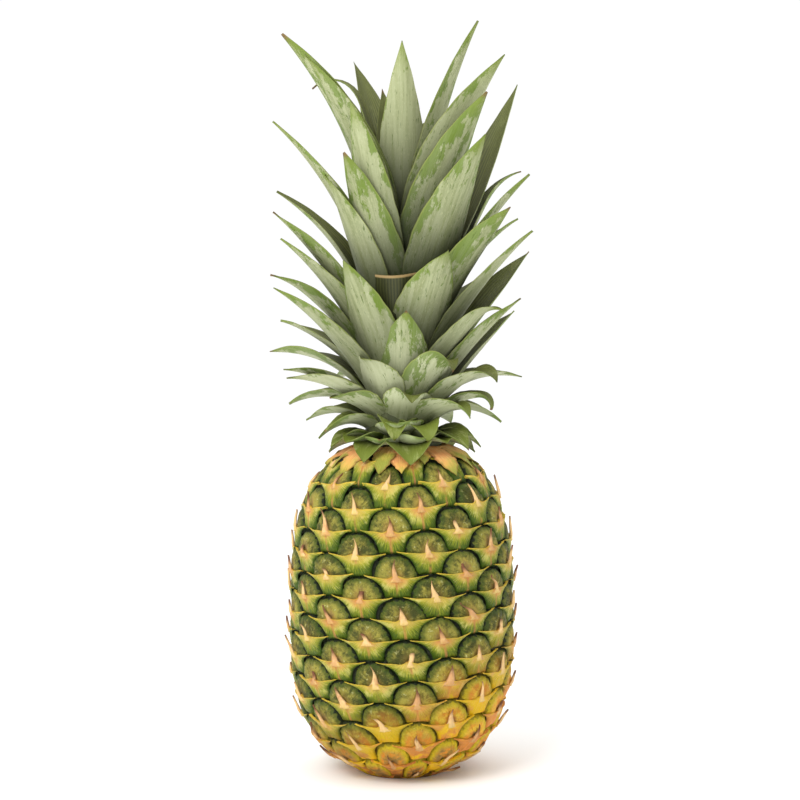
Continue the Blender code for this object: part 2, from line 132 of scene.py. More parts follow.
# Crown leaves on the near side, in millimetres and degrees: turn from the front, root height, reach of
# the tip from the axis, height of the tip, lean of the root off the upright, full width, curl at the end
NEAR_LEAVES = (
    (0, 245, 9, 367, 3, 25, 0),
    (70, 240, 40, 376, 3, 22, 0),
    (47, 236, 67, 355, 8, 28, 0),
    (40, 228, 63, 337, 12, 29, 0),
    (40, 216, 62, 317, 20, 30, 0),
    (122, 224, 71, 351, 30, 27, 0),
    (118, 214, 64, 312, 24, 20, 25),
    (72, 216, 66, 300, 24, 16, 0),
    (55, 208, 64, 283, 26, 27, 0),
    (120, 212, 70, 281, 24, 22, 0),
    (68, 200, 69, 272, 30, 22, 0),
    (119, 190, 76, 264, 36, 22, 0),
    (27, 198, 49, 262, 20, 31, 0),
    (54, 190, 58, 240, 34, 25, 35),
    (68, 186, 63, 239, 36, 22, 0),
    (119, 180, 67, 233, 40, 22, 0),
    (3, 184, 36, 233, 22, 25, 0),
    (-33, 190, 52, 257, 24, 26, 0),
    (-50, 206, 49, 299, 12, 25, 0),
    (-35, 214, 49, 309, 12, 27, 0),
    (-30, 226, 50, 334, 18, 23, 0),
    (-57, 238, 69, 366, 4, 24, 0),
    (-50, 234, 61, 356, 4, 22, 0),
    (-152, 240, 54, 364, 4, 24, 0),
    (-120, 240, 40, 370, 0, 8, 62),
    (-66, 220, 69, 325, 12, 22, 0),
    (-104, 214, 66, 294, 14, 20, 0),
    (-66, 204, 69, 281, 24, 22, 0),
    (-64, 198, 66, 268, 24, 24, 0),
    (-76, 196, 66, 253, 28, 18, 10),
    (-60, 186, 72, 244, 32, 26, 0),
    (-114, 190, 69, 228, 40, 20, 0),
    (-112, 184, 74, 212, 36, 22, 0),
    (-68, 181, 63, 204, 46, 20, 0),
    (-60, 179, 65, 200, 46, 22, 0),
    (-110, 178, 62, 185, 44, 22, 0),
    (-106, 174, 51, 177, 48, 20, 0),
    (-66, 173, 42, 173, 46, 20, 0),
    (-100, 172, 43, 168, 48, 18, 0),
    (-32, 181, 37, 212, 26, 26, 20),
    (-56, 178, 43, 190, 46, 24, 0),
    (8, 176, 36, 194, 30, 25, 70),
    (33, 182, 47, 214, 30, 27, 80),
    (58, 179, 56, 206, 40, 24, 50),
    (110, 182, 66, 199, 40, 20, 0),
    (76, 178, 50, 190, 46, 20, 60),
    (46, 175, 48, 184, 42, 24, 30),
    (106, 176, 53, 176, 46, 20, 0),
    (-6, 172, 38, 173, 36, 20, 70),
    (92, 169, 40, 164, 60, 18, 0),
    (58, 169, 39, 164, 60, 20, 0),
    (-30, 167, 38, 159, 84, 22, 0),
    (6, 167, 40, 158, 84, 24, 0),
    (22, 171, 38, 172, 40, 20, 60),
    (38, 168, 36, 168, 80, 22, 0),
    (-52, 168, 36, 168, 80, 22, 0),
    (-75, 168, 37, 165, 66, 20, 0),
    (14, 167, 36, 171, 92, 26, 0),
    (-18, 167, 36, 170, 92, 24, 0),
    (-3, 169, 36, 178, 66, 24, 0),
    (102, 167, 38, 161, 82, 22, 0),
    (-102, 167, 38, 161, 82, 22, 0),
)
SNAPPED_LEAF = (-7, 188, 30, 250, 14, 20, 0)

# Crown leaves on the far side: share of the way up, then root, reach, tip, lean and width
FAR_LEAVES = 25
FAR_ARC_START = 136.0
FAR_ARC = 88.0
GOLDEN_SHARE = 0.618034
FAR_GROWTH = (
    (0.00, 167, 37, 161, 84, 24),
    (0.14, 168, 38, 164, 76, 22),
    (0.24, 176, 50, 178, 48, 20),
    (0.34, 184, 62, 200, 42, 21),
    (0.48, 195, 64, 235, 34, 22),
    (0.62, 208, 60, 272, 24, 23),
    (0.76, 222, 52, 308, 15, 23),
    (0.90, 237, 40, 342, 7, 22),
    (1.00, 246, 20, 352, 3, 20),
)
FAR_TURN_SPREAD = (-4.0, 4.0)
FAR_REACH_SPREAD = (0.92, 1.04)
FAR_RISE_SPREAD = (-8.0, 8.0)
FAR_LEAN_SPREAD = (-4.0, 4.0)
FAR_WIDTH_SPREAD = (0.94, 1.04)
FAR_CURLS = (0, 0, 0, 40)

# Blade of a leaf: widths in millimetres or as a share of the full width, places as a share of its length
LEAF_STATIONS = 36
LEAF_COLUMNS = 15
LEAF_TIP_W = 0.35
LEAF_ROOT_W = 0.60
LEAF_WIDEST = 0.42
LEAF_TAPER = 1.75
SNAPPED_ROOT_W = 0.8
LEAF_BOW = 0.55
CURL_FROM = 0.72
CURL_GAIN = 1.6
CURL_POWER = 1.2

# Papery collar
COLLAR_RING_FOOT = 162.6
COLLAR_TALL = 3.0
COLLAR_IN_R = 20.3
COLLAR_OUT_R = 25.0
COLLAR_BRACTS = 17
COLLAR_ROOT_R = 22.5
COLLAR_REACH = (36.0, 43.0)
COLLAR_CLEAR = 1.9
COLLAR_SINK = 0.3
COLLAR_WIDTH = (11.0, 15.0)
COLLAR_THICK = 0.8
COLLAR_DROOP = -0.08
COLLAR_TURN_SPREAD = (-5.0, 5.0)
COLLAR_STATIONS = 21
COLLAR_COLUMNS = 11

# Stage, in metres and watts
FLOOR_R = 3.0
KEY_PLACE = (-0.60, -0.95, 0.95)
KEY_AIM = (0.0, 0.0, 0.18)
KEY_SIZE = 0.7
KEY_POWER = 13.0
CAMERA_EAST = -0.001

# Step in the noise from one eye's fibres to the next
FAN_SPREAD = 40.0


def tone(red, green, blue):
    """Linear colour from the 0 to 255 values a swatch is read as."""
    def linear(value):
        share = value / 255.0
        return share / 12.92 if share <= 0.04045 else ((share + 0.055) / 1.055) ** 2.4
    return (linear(red), linear(green), linear(blue))


def smooth(value, low, high):
    """Smooth step from 0 to 1 between low and high, for numbers and arrays."""
    share = np.clip((np.asarray(value, float) - low) / (high - low), 0.0, 1.0)
    return share * share * (3.0 - 2.0 * share)


def hump(value, middle, width):
    return np.exp(-((np.asarray(value, float) - middle) / width) ** 2)


# Settings that a user would change


def swatch(name, description, colour):
    """A colour that a user would change."""
    return FloatVectorProperty(name=name, description=description, default=colour, size=3, subtype="COLOR")


class PINEAPPLE_PG_rind(bpy.types.PropertyGroup):
    waist: FloatProperty(name="Waist radius", description="Radius of the fruit at its widest", unit="LENGTH",
                         default=0.0565)
    waist_height: FloatProperty(name="Waist height", description="Height of the widest ring", unit="LENGTH",
                                default=0.077)
    eye_area: FloatProperty(name="Eye area", description="Skin taken by one eye", unit="AREA",
                            default=0.000383)
    crease: FloatProperty(name="Crease depth", description="Depth of the crease round each eye",
                          unit="LENGTH", default=CREASE)
    eye_green: swatch("Eye green", "Dark green of the eyes", tone(58, 62, 12))
    eye_pale: swatch("Eye bloom", "Pale mottling on the eyes", tone(146, 138, 56))
    bract_green: swatch("Bract green", "Yellow green of the bracts", tone(134, 142, 26))
    bract_yellow: swatch("Bract yellow", "Yellow of the bract edges", tone(222, 188, 62))
    ripe: swatch("Ripe yellow", "Yellow of the ripe foot of the fruit", tone(248, 196, 6))
    dry_tip: swatch("Dry tip", "Tan of the dry eye tips", tone(226, 188, 128))


class PINEAPPLE_PG_crown(bpy.types.PropertyGroup):
    thick: FloatProperty(name="Leaf thickness", description="Thickness along the middle of a leaf",
                         unit="LENGTH", default=0.0013)
    channel: FloatProperty(name="Channel", description="Rise of a leaf's margins by its half width",
                           subtype="FACTOR", default=0.42)
    outer: swatch("Outer face", "Silvery green of the outer leaf faces", tone(160, 166, 126))
    fresh: swatch("Rubbed green", "Fresh green where the bloom is rubbed off", tone(94, 120, 14))
    inner: swatch("Inner face", "Dark green of the inner leaf faces", tone(60, 62, 26))
    paper: swatch("Collar", "Orange tan of the papery collar", tone(224, 158, 96))


class PINEAPPLE_PG_stage(bpy.types.PropertyGroup):
    distance: FloatProperty(name="Camera distance", description="From the axis of the fruit to the camera",
                            unit="LENGTH", default=0.95)
    elevation: FloatProperty(name="Camera elevation", description="Angle of the view above the horizon",
                             subtype="ANGLE", default=math.radians(2.5))
    aim_height: FloatProperty(name="Aim height", description="Height the camera looks at", unit="LENGTH",
                              default=0.188)
    lens: FloatProperty(name="Lens", description="Focal length in millimetres", default=84.6)
    floor: swatch("Floor", "Pale floor", (0.96, 0.96, 0.96))


# Shader expressions


class Wire:
    """A shader socket that takes part in Python expressions on numbers."""

    def __init__(self, sheet, socket):
        self.sheet = sheet
        self.socket = socket

    def math(self, operation, first, second):
        return self.sheet.node("ShaderNodeMath", {"operation": operation}, {0: first, 1: second})

    def __add__(self, other):
        return self.math("ADD", self, other)

    def __radd__(self, other):
        return self.math("ADD", other, self)

    def __sub__(self, other):
        return self.math("SUBTRACT", self, other)

    def __rsub__(self, other):
        return self.math("SUBTRACT", other, self)

    def __mul__(self, other):
        return self.math("MULTIPLY", self, other)

    def __rmul__(self, other):
        return self.math("MULTIPLY", other, self)

    def __pow__(self, other):
        return self.math("POWER", self, other)

    def __rpow__(self, other):
        return self.math("POWER", other, self)

    def __abs__(self):
        return self.sheet.node("ShaderNodeMath", {"operation": "ABSOLUTE"}, {0: self})

    def step(self, low, high):
        """Smooth step from 0 at low to 1 at high."""
        return self.sheet.node("ShaderNodeMapRange", {"interpolation_type": "SMOOTHSTEP"},
                               {"Value": self, "From Min": low, "From Max": high})

    def fade(self, low, high):
        """Smooth step from 1 at low to 0 at high."""
        return 1.0 - self.step(low, high)

    def wave(self, turns):
        """Sine, from -1 to 1, with this many turns for each unit."""
        return self.sheet.node("ShaderNodeMath", {"operation": "SINE"}, {0: self * (turns * 2.0 * math.pi)})


class Sheet:
    """Node tree of one material, or of the world."""

    def __init__(self, name, kind="materials"):
        self.material = getattr(bpy.data, kind).new(name)
        self.material.use_nodes = True
        self.tree = self.material.node_tree
        self.tree.nodes.clear()

    def node(self, kind, settings=None, values=None, output=0):
        made = self.tree.nodes.new(kind)
        for key, value in (settings or {}).items():
            setattr(made, key, value)
        for key, value in (values or {}).items():
            socket = self.find(made.inputs, key)
            if isinstance(value, Wire):
                self.tree.links.new(value.socket, socket)
            elif socket.type == "RGBA" and len(value) == 3:
                socket.default_value = (*value, 1.0)
            else:
                socket.default_value = value
        if output is not None:
            return Wire(self, self.find(made.outputs, output))

    @staticmethod
    def find(sockets, key):
        if isinstance(key, int):
            return sockets[key]
        return next(s for s in sockets if s.identifier == key or s.name == key)

    def number(self, name):
        return self.node("ShaderNodeAttribute", {"attribute_name": name}, output="Fac")

    def vector(self, name):
        return self.node("ShaderNodeAttribute", {"attribute_name": name}, output="Vector")

    def parts(self, vector):
        split = self.node("ShaderNodeSeparateXYZ", None, {"Vector": vector}).socket.node
        return [Wire(self, split.outputs[k]) for k in range(3)]

    def place(self):
        """Place on the object, in metres."""
        return self.node("ShaderNodeTexCoord", output="Object")

    def noise(self, vector, scale, detail=3.0, rough=0.5):
        return self.node("ShaderNodeTexNoise", None,
                         {"Vector": vector, "Scale": scale, "Detail": detail, "Roughness": rough})

    def drawn(self, vector, factors, detail=3.0, rough=0.5, scale=1.0):
        """Noise drawn out along the axes of a vector."""
        place = self.node("ShaderNodeVectorMath", {"operation": "MULTIPLY"}, {0: vector, 1: factors})
        return self.noise(place, scale, detail, rough)

    def fan(self, across, down, turns, reach, number):
        """Noise drawn out along the lines that spread from one point."""
        angle = self.node("ShaderNodeMath", {"operation": "ARCTAN2"}, {0: across, 1: down})
        length = (across * across + down * down) ** 0.5
        place = self.node("ShaderNodeCombineXYZ", None,
                          {0: angle * turns, 1: length * reach, 2: number * FAN_SPREAD})
        return self.noise(place, 1.0, 4.0, 0.6)

    def blend(self, under, over, share):
        return self.node("ShaderNodeMix", {"data_type": "RGBA", "clamp_factor": True},
                         {"Factor_Float": share, "A_Color": under, "B_Color": over}, "Result_Color")

    def coats(self, colour, *coats):
        """A colour with coats laid over it in turn, each a colour and the share that it covers."""
        for over, share in coats:
            colour = self.blend(colour, over, share)
        return colour

    def finish(self, colour, rough, height, depth, strength=0.6, level=0.5):
        bump = self.node("ShaderNodeBump", None, {"Strength": strength, "Distance": depth, "Height": height})
        surface = self.node("ShaderNodeBsdfPrincipled", None, {
            "Base Color": colour, "Roughness": rough, "Normal": bump, "Specular IOR Level": level})
        self.node("ShaderNodeOutputMaterial", None, {"Surface": surface}, None)
        return self.material


# Meshes


def piece(name, points, faces, material, node, marks=None, vectors=None):
    """A mesh object that rides on the fruit, with numbers and vectors kept at its points for the shader."""
    mesh = bpy.data.meshes.new(name)
    mesh.from_pydata(np.asarray(points).tolist(), [], faces)
    mesh.validate()
    for key, values in (marks or {}).items():
        mesh.attributes.new(key, "FLOAT", "POINT").data.foreach_set("value", np.asarray(values, np.float32))
    for key, values in (vectors or {}).items():
        flat = np.asarray(values, np.float32).reshape(-1)
        mesh.attributes.new(key, "FLOAT_VECTOR", "POINT").data.foreach_set("vector", flat)
    mesh.shade_smooth()
    mesh.materials.append(material)
    made = bpy.data.objects.new(name, mesh)
    bpy.context.scene.collection.objects.link(made)
    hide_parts(node)
    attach(made, "root")
    return made


def grid_faces(rows, columns, start=0, closed=False):
    """Quads of a grid of points, row by row; a closed grid joins its last column to its first."""
    faces = []
    for row in range(rows - 1):
        for column in range(columns if closed else columns - 1):
            after = (column + 1) % columns
            low, high = start + row * columns, start + (row + 1) * columns
            faces.append((low + column, low + after, high + after, high + column))
    return faces


def ring_turns(sides):
    """Turns of the points of a ring, in degrees."""
    return np.linspace(0.0, 360.0, sides, endpoint=False)


def tube_faces(rows, columns):
    """Quads of a closed grid, with a flat face on its first and its last row."""
    last = (rows - 1) * columns
    ends = [tuple(range(columns))[::-1], tuple(range(last, last + columns))]
    return grid_faces(rows, columns, closed=True) + ends


def around(turn, radius, height):
    """Points at a turn in degrees from the front, to the right as seen from there."""
    angle = np.radians(turn)
    return np.stack([radius * np.sin(angle), -radius * np.cos(angle), height + 0.0 * angle], axis=-1)


class Skin:
    """Outline of the fruit from the crown down, in metres, with the skin area above each point."""

    def __init__(self, rind, steps=1200):
        waist, waist_height = rind.waist, rind.waist_height
        swing = np.linspace(0.0, math.pi / 2.0, steps)
        up_r = waist * np.cos(swing) ** (2.0 / ABOVE_POWER)
        up_z = waist_height + SHOULDER_RISE * MM * np.sin(swing) ** (2.0 / ABOVE_POWER)
        down_r = waist * np.cos(swing) ** (2.0 / BELOW_POWER)
        down_z = waist_height * (1.0 - np.sin(swing) ** (2.0 / BELOW_POWER))
        self.r = np.r_[up_r[::-1], down_r[1:]]
        self.z = np.r_[up_z[::-1], down_z[1:]]
        self.split = split = int(np.argmax(self.r))
        low = (np.arange(len(self.r)) > split) & (self.r < FOOT_SKIN_R * MM)
        cone = np.clip((self.r - FOOT_R * MM) / ((FOOT_SKIN_R - FOOT_R) * MM), 0.0, 1.0)
        self.z = np.where(low, self.z[low].max() * cone, self.z)
        step = np.hypot(np.diff(self.r), np.diff(self.z))
        middle = (self.r[1:] + self.r[:-1]) / 2.0
        self.area = np.r_[0.0, np.cumsum(2.0 * math.pi * middle * step)] / rind.eye_area
        slope_r, slope_z = np.gradient(self.r), np.gradient(self.z)
        size = np.hypot(slope_r, slope_z)
        self.out_r, self.out_z = -slope_z / size, slope_r / size
        self.top = float(np.interp(NECK_R * MM, self.r[:split], self.area[:split]))
        self.foot = float(np.interp(-(FOOT_R + GAP) * MM, -self.r[split:], self.area[split:]))
        self.relief = rind.crease / CREASE

    def lifted(self, area, turn, lift):
        """Points of the skin at these area indices and turns, raised off it by lift."""
        r, z, out_r, out_z = (np.interp(area, self.area, v) for v in (self.r, self.z, self.out_r, self.out_z))
        fade = np.clip(np.minimum(z / (FADE_Z * MM), (area - self.top) / FADE_EYES), 0.0, 1.0)
        return around(turn, r + lift * fade * out_r, np.maximum(z + lift * fade * out_z, LOWEST_Z * MM))

    def carved(self, area, turn, body):
        """Points of a patch whose relief in millimetres goes by the depth of the creases."""
        return self.lifted(np.clip(area, self.top + 0.4, self.foot), turn, body * MM * self.relief)

    def shoulder(self, radius):
        """Height of the upper skin at a radius."""
        return np.interp(radius, self.r[:self.split], self.z[:self.split])

    def holds(self, area, top=1.0, foot=2.0):
        """True between the neck and the foot, which these margins in eyes move down."""
        return self.top + top < area < self.foot + foot

    def eyes(self, series):
        """Each eye's number with the random source of this series, from above the neck to below the foot."""
        for eye in range(-STEPS_LEFT, int(self.area[-1]) + STEPS_LEFT):
            if self.holds(eye + FIRST_EYE, -4.0, 4.0):
                yield eye, random.Random(SEED * series + eye)


def eye_place(eye, across, up):
    """Skin area index and turn of points of one eye, on the lattice of its neighbours."""
    right, left = (across - up) / 2.0, (-across - up) / 2.0
    area = eye + FIRST_EYE + STEPS_RIGHT * right + STEPS_LEFT * left
    turn = (FIRST_EYE_TURN + EYE_TURN * eye + (STEPS_RIGHT * EYE_TURN + 360.0) * right
            + (STEPS_LEFT * EYE_TURN + 360.0) * left)
    return area, turn


def settled(eye, across, up):
    """Place of points of one eye, which sits a little off its spot on the lattice and a little turned."""
    vary = random.Random(SEED * 50 + eye).uniform
    right, high = vary(-EYE_SHIFT, EYE_SHIFT), vary(-EYE_SHIFT, EYE_SHIFT)
    roll = vary(-EYE_ROLL, EYE_ROLL)
    return eye_place(eye, across + right + roll * up, up + high - roll * across)


class EyeSheet:
    """Collects the patches of all eyes into one mesh, with their marks for the shader."""

    def __init__(self):
        self.points, self.faces, self.spots, self.edges, self.sides = [], [], [], [], []
        self.count = 0

    def add(self, points, faces, across, up, edge, side, eye):
        """One patch; faces count from its own first point."""
        across, up, edge, side = (part.ravel() for part in np.broadcast_arrays(across, up, edge, side))
        self.points.append(points.reshape(-1, 3))
        self.faces.extend(tuple(self.count + i for i in face) for face in faces)
        share = np.full(across.shape, (eye * GOLDEN_SHARE) % 1.0)
        self.spots.append(np.stack([across, up, share], axis=-1))
        self.edges.append(edge)
        self.sides.append(side)
        self.count += len(across)

    def make(self, name, material):
        return piece(name, np.concatenate(self.points), self.faces, material, "fruit",
                     {"edge": np.concatenate(self.edges), "side": np.concatenate(self.sides)},
                     {"spot": np.concatenate(self.spots)})


def bed_piece(rind, material):
    """The floor of the creases: the skin let in all over, closed at the neck and round the stalk."""
    skin = Skin(rind)
    sides, rows = 144, 90
    turn = ring_turns(sides)
    area = np.linspace(skin.top, skin.foot, rows)
    rings = [skin.lifted(np.full(sides, a), turn, -rind.crease * 1.05) for a in area]
    neck_z = min(FRUIT_TOP, COLLAR_LOW) - 0.0004
    rings.insert(0, around(turn, NECK_R * MM * 0.4, neck_z))
    recess, stalk_top = (STALK_R + GAP) * MM, STALK_TOP + GAP * MM
    for radius, height in ((FOOT_R * MM, 0.0), (recess, 0.0), (recess, stalk_top)):
        rings.append(around(turn, radius, height))
    points = np.concatenate(rings + [[[0.0, 0.0, neck_z], [0.0, 0.0, stalk_top]]])
    faces = grid_faces(len(rings), sides, closed=True)
    last = (len(rings) - 1) * sides
    for k in range(sides):
        after = (k + 1) % sides
        faces.append((after, k, len(points) - 2))
        faces.append((last + k, last + after, len(points) - 1))
    return piece("rind_bed", points, [face[::-1] for face in faces], material, "fruit")


def domes_piece(rind, material):
    """The dark green half-round pads of the eyes, with beaded rims, folds and a dry flower in the middle."""
    skin, sheet = Skin(rind), EyeSheet()
    angle, t = np.meshgrid(np.radians(np.linspace(-24.0, 204.0, 57)), DOME_RINGS)
    cosine, sine = np.cos(angle), np.sin(angle)
    for eye, draw in skin.eyes(100):
        vary = draw.uniform
        phase = vary(0.0, 2.0 * math.pi)
        beads = np.cos(vary(17.0, 21.0) * angle + phase) + 0.5 * np.cos(31.0 * angle + 2.0 * phase)
        power = vary(2.1, 2.45)
        reach = (np.abs(cosine) ** power + np.abs(sine) ** power) ** (-1.0 / power)
        reach = reach * (1.0 + 0.022 * np.cos(6.0 * angle + vary(-0.8, 0.8)))
        wide, tall = EYE_HALF_W * vary(0.95, 1.02), EYE_ABOVE * vary(0.93, 1.02)
        scallop = 1.0 + 0.022 * beads * smooth(t, 0.7, 0.95)
        across = wide * reach * t * cosine * scallop + vary(-0.02, 0.02) * t * sine
        up = np.where(sine > 0.0, tall, EYE_BELOW) * reach * t * sine * scallop
        body = -3.1 + 3.4 * (1.0 - t ** 5) ** 0.62
        folds = sum(hump(np.degrees(angle), middle + vary(-8.0, 8.0), 4.0) for middle in (56.0, 124.0))
        body = body - 0.5 * folds * smooth(t, 0.2, 0.6) * (1.0 - smooth(t, 0.9, 1.0))
        body = body + 0.22 * beads * smooth(t, 0.74, 0.88) * (1.0 - smooth(t, 0.93, 1.0))
        rays = np.cos(27.0 * angle + 3.0 * phase) + np.cos(43.0 * angle + phase)
        body = body + 0.08 * rays * smooth(t, 0.1, 0.5) * (1.0 - smooth(t, 0.6, 0.9))
        body = body - 0.9 * hump(t, 0.0, 0.2) + vary(-0.3, 0.15)
        body = body + vary(-0.7, 0.7) * across + vary(-0.3, 0.3) * up
        area, turn = settled(eye, across, up)
        if skin.holds(float(area[-1].mean())):
            edge = t + 0.040 * beads * smooth(t, 0.6, 0.88)
            sheet.add(skin.carved(area, turn, body), grid_faces(*t.shape), across, up, edge, 0.0, eye)
    return sheet.make("rind_eyes", material)


def bract_width(up):
    """Half width of a bract at a height, in half cells: it runs down between the two lower eyes."""
    return np.interp(up, (-1.12, -0.95, -0.80, -0.62, -0.45, -0.30, -0.20, -0.10, -0.04, 0.00, 0.04),
                     (0.365, 0.370, 0.375, 0.400, 0.440, 0.505, 0.570, 0.665, 0.74, 0.80, 0.86))


def bracts_piece(rind, material):
    """The yellow green bract below each eye: two wings, a raised middle panel and a free upper edge."""
    skin, sheet = Skin(rind), EyeSheet()
    swing = math.pi / 2.0 * 0.92
    column, row = np.meshgrid(np.sin(np.linspace(-1.0, 1.0, 31) * swing) / math.sin(swing), BRACT_ROWS)
    for eye, draw in skin.eyes(200):
        vary = draw.uniform
        left, right = vary(0.86, 1.1), vary(0.86, 1.1)
        wing = np.where(column < 0.0, left, right)
        top = -0.05 + 0.13 * wing * np.abs(column) ** 2.6 + 0.11 * hump(column, 0.0, vary(0.13, 0.22))
        top = top + 0.025 * np.sin(vary(5.0, 12.0) * column + vary(0.0, 6.0)) * (1.0 - column ** 2)
        low = -1.0 - 0.10 * np.abs(column) ** 2.5
        up = low + (top - low) * row
        across = column * bract_width(up)
        body = -3.0 + 1.9 * np.clip(row / 0.14, 0.0, 1.0) ** 0.6 + 2.1 * row ** 1.15
        body = body - (1.8 * np.abs(column) ** 7) * (1.0 - 0.5 * row)
        line = 0.08 + vary(0.14, 0.24) * np.clip(-up, 0.0, 1.0)
        body = body + 0.36 * hump(np.abs(across), line, 0.022) * smooth(row, 0.1, 0.3)
        body = body - 0.25 * hump(across, vary(-0.03, 0.03), 0.025) * smooth(row, 0.2, 0.5)
        fan = np.arctan2(across, 0.1 - up)
        body = body + 0.07 * np.sin(15.0 * fan + vary(0.0, 6.0)) * smooth(row, 0.1, 0.4)
        body = body + vary(-0.4, 0.4) * across + vary(-0.2, 0.2)
        body = body + 0.10 * np.sin(9.0 * across + 5.0 * up + vary(0.0, 6.0))
        under = row > 1.0
        body = np.where(under, body - 1.7, body)
        up = np.where(under, up - 0.05, up)
        area, turn = settled(eye, across, up)
        if skin.holds(float(area[9, 15])):
            sheet.add(skin.carved(area, turn, body), grid_faces(*row.shape), across, up,
                      np.minimum(row, 1.0), np.abs(column), eye)
    return sheet.make("rind_bracts", material)


def tips_piece(rind, material):
    """The dry keeled tip that rises from the middle of each bract over its eye."""
    skin, sheet = Skin(rind), EyeSheet()
    s = np.linspace(0.0, 1.0, 15)[:, None]
    section = np.array([(-1.0, 0.0), (-0.5, 0.45), (0.0, 1.0), (0.5, 0.45), (1.0, 0.0), (0.0, -0.35)])
    for eye, draw in skin.eyes(1000):
        vary = draw.uniform
        side, rise = vary(-TIP_SWAY, TIP_SWAY), TIP_RISE * vary(*TIP_RISE_SPREAD)
        stand = TIP_STAND * vary(*TIP_STAND_SPREAD)
        hook = vary(-0.12, 0.12)
        area, _ = eye_place(eye, 0.0, 0.0)
        if not skin.holds(area, 2.0, -1.0):
            continue
        kind = draw.random()
        broken, bent = kind < TIPS_BROKEN, kind > 1.0 - TIPS_BENT
        flat = area < skin.area[-1] / 2.0 and np.interp(area, skin.area, skin.r) < TIP_FREE_ABOVE_R * MM
        if flat:
            stand, rise = 0.9, 0.4
        rise = rise * vary(*TIP_RISE_GAIN)
        if broken:
            stand, rise = stand * 0.45, rise * 0.5
        half = vary(0.10, 0.17) * (1.0 - s) ** vary(0.8, 1.3) + 0.13 * hump(s, 0.0, 0.16)
        half = np.maximum(half, 0.07 if broken else 0.014)
        middle = side * s ** 1.6 + hook * np.sin(math.pi * s) * s
        if bent:
            middle = middle + math.copysign(0.26, hook) * smooth(s, 0.5, 1.0)
        twist = vary(-0.9, 0.9) * s ** 2
        up = TIP_FOOT + (rise - TIP_FOOT) * s + 0.35 * half * section[:, 1] * np.sin(twist)
        across = middle + half * section[:, 0] * np.cos(twist)
        thick = TIP_KEEL * (1.0 - 0.55 * s)
        lift = 0.7 * smooth(s, 0.0, 0.35) + (stand - TIP_KEEL) * s ** 1.7 + thick * section[:, 1]
        lift = lift + 1.4 * half * section[:, 0] * np.sin(twist)
        spot_area, turn = settled(eye, across, up)
        sheet.add(skin.lifted(spot_area, turn, lift * MM), tube_faces(len(s), len(section)), across, up,
                  s, np.abs(section[:, 0]), eye)
    return sheet.make("eye_tips", material)


# Leaves


def leaf_line(start, reach, rise, lean, curl, count):
    """Points (radius, height) along the middle of a leaf, root to tip, in millimetres."""
    end, start = np.array([reach, rise], float), np.array(start, float)
    push = math.radians(lean)
    bend = start + LEAF_BOW * np.linalg.norm(end - start) * np.array([math.sin(push), math.cos(push)])
    x = np.linspace(0.0, 1.0, count + 1)[:, None]
    line = (1 - x) ** 2 * start + 2 * x * (1 - x) * bend + x * x * end
    if curl:
        step = np.diff(line, axis=0)
        angle, size = np.arctan2(step[:, 0], step[:, 1]), np.hypot(step[:, 0], step[:, 1])
        mid = (x[1:, 0] + x[:-1, 0]) / 2.0
        late = np.clip((mid - CURL_FROM) / (1.0 - CURL_FROM), 0.0, 1.0)
        angle = angle + math.radians(curl) * CURL_GAIN * late ** CURL_POWER
        step = np.c_[np.sin(angle) * size, np.cos(angle) * size]
        line = np.vstack([line[:1], line[0] + np.cumsum(step, axis=0)])
    return line


def leaf_width(x, whole=True):
    """Share of the full width at x along the leaf; a snapped leaf keeps its width to the break."""
    if not whole:
        return SNAPPED_ROOT_W + (1.0 - SNAPPED_ROOT_W) * x
    root = LEAF_ROOT_W + (1.0 - LEAF_ROOT_W) * np.sin(np.clip(x / LEAF_WIDEST, 0.0, 1.0) * math.pi / 2.0)
    late = np.clip((x - LEAF_WIDEST) / (1.0 - LEAF_WIDEST), 0.0, 1.0)
    return np.where(x < LEAF_WIDEST, root, 1.0 - late ** LEAF_TAPER)


